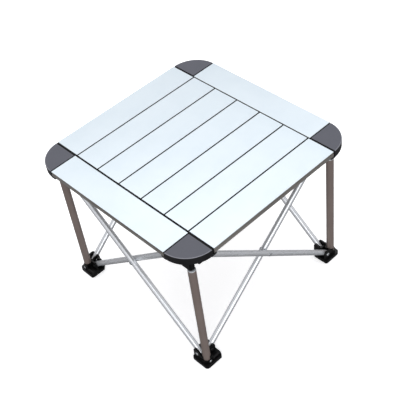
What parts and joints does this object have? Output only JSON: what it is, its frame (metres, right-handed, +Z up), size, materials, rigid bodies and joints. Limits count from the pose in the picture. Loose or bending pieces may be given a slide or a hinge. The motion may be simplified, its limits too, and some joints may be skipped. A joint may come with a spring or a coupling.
{
  "type": "folding side table",
  "caption": "Low folding side table: slatted roll-up aluminium top between end rails and rounded corner caps, on a folding frame of upright legs and crossed braces",
  "frame": {"origin": "on the floor under the middle of the table top", "axes": "+Z up; +X along the slats; +Y across the slats"},
  "size_m": [0.448, 0.448, 0.337],
  "materials": {
    "panel": "satin",
    "corner_cap": "satin",
    "bracket": "satin",
    "leg": "satin",
    "bright_metal": "satin",
    "shock_cord": "matte"
  },
  "bodies": {
    "foot_left": {"foot_bracket_left": "bracket", "leg_left": "leg", "foot_pin_outer_left": "bright_metal", "foot_pin_inner_left": "bright_metal"},
    "top_left": {"top_bracket_left": "bracket", "leg_peg_left": "bright_metal", "top_pin_outer_left": "bright_metal", "top_pin_inner_left": "bright_metal"},
    "foot_front": {"foot_bracket_front": "bracket", "leg_front": "leg", "foot_pin_outer_front": "bright_metal", "foot_pin_inner_front": "bright_metal"},
    "top_front": {"top_bracket_front": "bracket", "leg_peg_front": "bright_metal", "top_pin_outer_front": "bright_metal", "top_pin_inner_front": "bright_metal"},
    "foot_right": {"foot_bracket_right": "bracket", "leg_right": "leg", "foot_pin_outer_right": "bright_metal", "foot_pin_inner_right": "bright_metal"},
    "top_right": {"top_bracket_right": "bracket", "leg_peg_right": "bright_metal", "top_pin_outer_right": "bright_metal", "top_pin_inner_right": "bright_metal"},
    "foot_back": {"foot_bracket_back": "bracket", "leg_back": "leg", "foot_pin_outer_back": "bright_metal", "foot_pin_inner_back": "bright_metal"},
    "top_back": {"top_bracket_back": "bracket", "leg_peg_back": "bright_metal", "top_pin_outer_back": "bright_metal", "top_pin_inner_back": "bright_metal"},
    "outer_brace_left_side": {"outer_brace_left_side": "bright_metal"},
    "inner_brace_left_side": {"inner_brace_left_side": "bright_metal", "centre_rivet_left_side": "bright_metal"},
    "outer_brace_front_side": {"outer_brace_front_side": "bright_metal"},
    "inner_brace_front_side": {"inner_brace_front_side": "bright_metal", "centre_rivet_front_side": "bright_metal"},
    "outer_brace_right_side": {"outer_brace_right_side": "bright_metal"},
    "inner_brace_right_side": {"inner_brace_right_side": "bright_metal", "centre_rivet_right_side": "bright_metal"},
    "outer_brace_back_side": {"outer_brace_back_side": "bright_metal"},
    "inner_brace_back_side": {"inner_brace_back_side": "bright_metal", "centre_rivet_back_side": "bright_metal"},
    "top_frame": {"end_rail_near": "panel", "end_rail_far": "panel", "corner_cap_left": "corner_cap", "corner_cap_front": "corner_cap", "corner_cap_right": "corner_cap", "corner_cap_back": "corner_cap"},
    "slat_1": {"slat_1": "panel"},
    "slat_2": {"slat_2": "panel"},
    "slat_3": {"slat_3": "panel"},
    "slat_4": {"slat_4": "panel", "shock_cord_near": "shock_cord", "shock_cord_far": "shock_cord"},
    "slat_5": {"slat_5": "panel"},
    "slat_6": {"slat_6": "panel"},
    "slat_7": {"slat_7": "panel"}
  },
  "joints": [
    {"name": "frame_fold", "type": "hinge", "parent": "foot_left", "child": "inner_brace_left_side", "pos_m": [-0.1775, 0.1715, 0.0195], "axis": [-1, 0, 0], "range_deg": [0, 46]},
    {"name": "top_front_hinge", "type": "hinge", "parent": "inner_brace_left_side", "child": "top_front", "pos_m": [-0.1775, -0.1715, 0.3075], "axis": [1, 0, 0], "range_deg": [0, 46]},
    {"name": "left_side_crossing", "type": "hinge", "parent": "inner_brace_left_side", "child": "outer_brace_left_side", "pos_m": [-0.18375, 0, 0.1635], "axis": [1, 0, 0], "range_deg": [0, 92]},
    {"name": "foot_front_hinge", "type": "hinge", "parent": "outer_brace_left_side", "child": "foot_front", "pos_m": [-0.19, -0.1715, 0.0195], "axis": [-1, 0, 0], "range_deg": [0, 46]},
    {"name": "top_left_hinge", "type": "hinge", "parent": "outer_brace_left_side", "child": "top_left", "pos_m": [-0.19, 0.1715, 0.3075], "axis": [-1, 0, 0], "range_deg": [0, 46]},
    {"name": "front_side_brace_foot", "type": "hinge", "parent": "foot_front", "child": "inner_brace_front_side", "pos_m": [-0.1715, -0.1775, 0.0195], "axis": [0, -1, 0], "range_deg": [0, 46]},
    {"name": "top_right_hinge", "type": "hinge", "parent": "inner_brace_front_side", "child": "top_right", "pos_m": [0.1715, -0.1775, 0.3075], "axis": [0, 1, 0], "range_deg": [0, 46]},
    {"name": "front_side_crossing", "type": "hinge", "parent": "inner_brace_front_side", "child": "outer_brace_front_side", "pos_m": [0, -0.18375, 0.1635], "axis": [0, 1, 0], "range_deg": [0, 92]},
    {"name": "foot_right_hinge", "type": "hinge", "parent": "outer_brace_front_side", "child": "foot_right", "pos_m": [0.1715, -0.19, 0.0195], "axis": [0, -1, 0], "range_deg": [0, 46]},
    {"name": "right_side_brace_foot", "type": "hinge", "parent": "foot_right", "child": "inner_brace_right_side", "pos_m": [0.1775, -0.1715, 0.0195], "axis": [1, 0, 0], "range_deg": [0, 46]},
    {"name": "right_side_crossing", "type": "hinge", "parent": "inner_brace_right_side", "child": "outer_brace_right_side", "pos_m": [0.18375, 0, 0.1635], "axis": [-1, 0, 0], "range_deg": [0, 92]},
    {"name": "back_side_brace_foot", "type": "hinge", "parent": "foot_left", "child": "outer_brace_back_side", "pos_m": [-0.1715, 0.19, 0.0195], "axis": [0, -1, 0], "range_deg": [0, 46]},
    {"name": "top_back_hinge", "type": "hinge", "parent": "outer_brace_back_side", "child": "top_back", "pos_m": [0.1715, 0.19, 0.3075], "axis": [0, 1, 0], "range_deg": [0, 46]},
    {"name": "back_side_crossing", "type": "hinge", "parent": "outer_brace_back_side", "child": "inner_brace_back_side", "pos_m": [0, 0.18375, 0.1635], "axis": [0, 1, 0], "range_deg": [0, 92]},
    {"name": "foot_back_hinge", "type": "hinge", "parent": "inner_brace_back_side", "child": "foot_back", "pos_m": [0.1715, 0.1775, 0.0195], "axis": [0, -1, 0], "range_deg": [0, 46]},
    {"name": "top_lift", "type": "slide", "parent": "top_left", "child": "top_frame", "axis": [0, 0, 1], "range_m": [0, 0.06]},
    {"name": "slat_mat_lift", "type": "slide", "parent": "top_frame", "child": "slat_4", "axis": [0, 0, 1], "range_m": [0, 0.05]},
    {"name": "slat_roll", "type": "hinge", "parent": "slat_4", "child": "slat_5", "pos_m": [0, 0.032, 0.337], "axis": [1, 0, 0], "range_deg": [0, 51], "deforming": ["shock_cord_near", "shock_cord_far"]},
    {"name": "slat_roll_6", "type": "hinge", "parent": "slat_5", "child": "slat_6", "pos_m": [0, 0.096, 0.337], "axis": [1, 0, 0], "range_deg": [0, 51]},
    {"name": "slat_roll_7", "type": "hinge", "parent": "slat_6", "child": "slat_7", "pos_m": [0, 0.16, 0.337], "axis": [1, 0, 0], "range_deg": [0, 51]},
    {"name": "slat_roll_3", "type": "hinge", "parent": "slat_4", "child": "slat_3", "pos_m": [0, -0.032, 0.337], "axis": [-1, 0, 0], "range_deg": [0, 51]},
    {"name": "slat_roll_2", "type": "hinge", "parent": "slat_3", "child": "slat_2", "pos_m": [0, -0.096, 0.337], "axis": [-1, 0, 0], "range_deg": [0, 51]},
    {"name": "slat_roll_1", "type": "hinge", "parent": "slat_2", "child": "slat_1", "pos_m": [0, -0.16, 0.337], "axis": [-1, 0, 0], "range_deg": [0, 51]}
  ],
  "couplings": [
    {"joint": "top_front_hinge", "follows": "frame_fold", "ratio": 1},
    {"joint": "left_side_crossing", "follows": "frame_fold", "ratio": 2},
    {"joint": "foot_front_hinge", "follows": "frame_fold", "ratio": 1},
    {"joint": "top_left_hinge", "follows": "frame_fold", "ratio": 1},
    {"joint": "front_side_brace_foot", "follows": "frame_fold", "ratio": 1},
    {"joint": "top_right_hinge", "follows": "frame_fold", "ratio": 1},
    {"joint": "front_side_crossing", "follows": "frame_fold", "ratio": 2},
    {"joint": "foot_right_hinge", "follows": "frame_fold", "ratio": 1},
    {"joint": "right_side_brace_foot", "follows": "frame_fold", "ratio": 1},
    {"joint": "right_side_crossing", "follows": "frame_fold", "ratio": 2},
    {"joint": "back_side_brace_foot", "follows": "frame_fold", "ratio": 1},
    {"joint": "top_back_hinge", "follows": "frame_fold", "ratio": 1},
    {"joint": "back_side_crossing", "follows": "frame_fold", "ratio": 2},
    {"joint": "foot_back_hinge", "follows": "frame_fold", "ratio": 1},
    {"joint": "slat_roll_6", "follows": "slat_roll", "ratio": 1},
    {"joint": "slat_roll_7", "follows": "slat_roll", "ratio": 1},
    {"joint": "slat_roll_3", "follows": "slat_roll", "ratio": 1},
    {"joint": "slat_roll_2", "follows": "slat_roll", "ratio": 1},
    {"joint": "slat_roll_1", "follows": "slat_roll", "ratio": 1}
  ]
}
